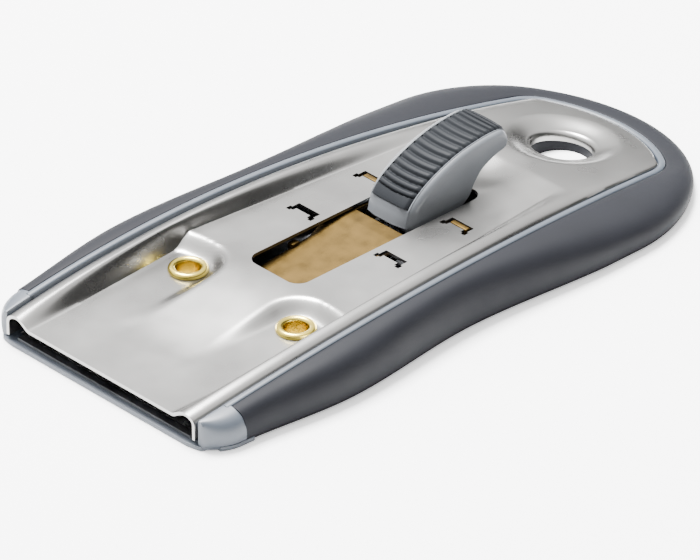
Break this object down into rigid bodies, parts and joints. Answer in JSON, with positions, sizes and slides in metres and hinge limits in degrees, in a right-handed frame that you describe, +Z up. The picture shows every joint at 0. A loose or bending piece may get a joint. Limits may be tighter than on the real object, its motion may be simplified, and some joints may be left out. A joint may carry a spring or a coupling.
{
  "type": "scraper knife",
  "caption": "Hand scraper knife with a pressed steel cover, soft grip, sliding blade carriage, sprung thumb lever and a hanging hole.",
  "frame": {"origin": "centre of the outline on the surface the knife lies on", "axes": "+Z up out of the cover, -Y out of the blade mouth, +X across"},
  "size_m": [0.0612, 0.128, 0.0179],
  "materials": {
    "cover_steel": "satin stainless sheet",
    "bed_steel": "zinc plated",
    "body_plastic": "pale grey moulded",
    "grip_rubber": "dark grey soft moulding",
    "eyelet_brass": "polished brass",
    "passivated_steel": "yellow passivated",
    "blade_steel": "ground",
    "spring_steel": "oiled",
    "lever_plastic": "grey moulded",
    "pad_rubber": "ribbed soft pad"
  },
  "bodies": {
    "body": {"top_plate": "cover_steel", "bed_plate": "bed_steel", "body_frame": "body_plastic", "soft_grip": "grip_rubber", "hole_liner": "grip_rubber", "eyelet_left": "eyelet_brass", "eyelet_right": "eyelet_brass"},
    "slider": {"carriage": "passivated_steel", "blade": "blade_steel", "blade_keeper": "spring_steel", "keeper_rivets": "bed_steel", "latch_spring": "spring_steel", "lever_pin": "bed_steel", "lever_spring": "spring_steel"},
    "latch": {"latch_plate": "passivated_steel"},
    "lever": {"thumb_lever": "lever_plastic", "lever_pad": "pad_rubber"}
  },
  "joints": [
    {"name": "blade_slide", "type": "slide", "parent": "body", "child": "slider", "axis": [0, -1, 0], "range_m": [0, 0.0156]},
    {"name": "lever_tip", "type": "hinge", "parent": "slider", "child": "lever", "pos_m": [0, 0.0055, 0.00463], "axis": [-1, 0, 0], "range_deg": [0, 11], "stiffness_Nm_per_rad": 0.02, "springref_deg": -20.05},
    {"name": "latch_drop", "type": "slide", "parent": "slider", "child": "latch", "axis": [0, 0, -1], "range_m": [0, 0.0015], "deforming": ["latch_spring"]}
  ],
  "couplings": [
    {"joint": "latch_drop", "follows": "lever_tip", "m_per_rad": 0.00775}
  ]
}
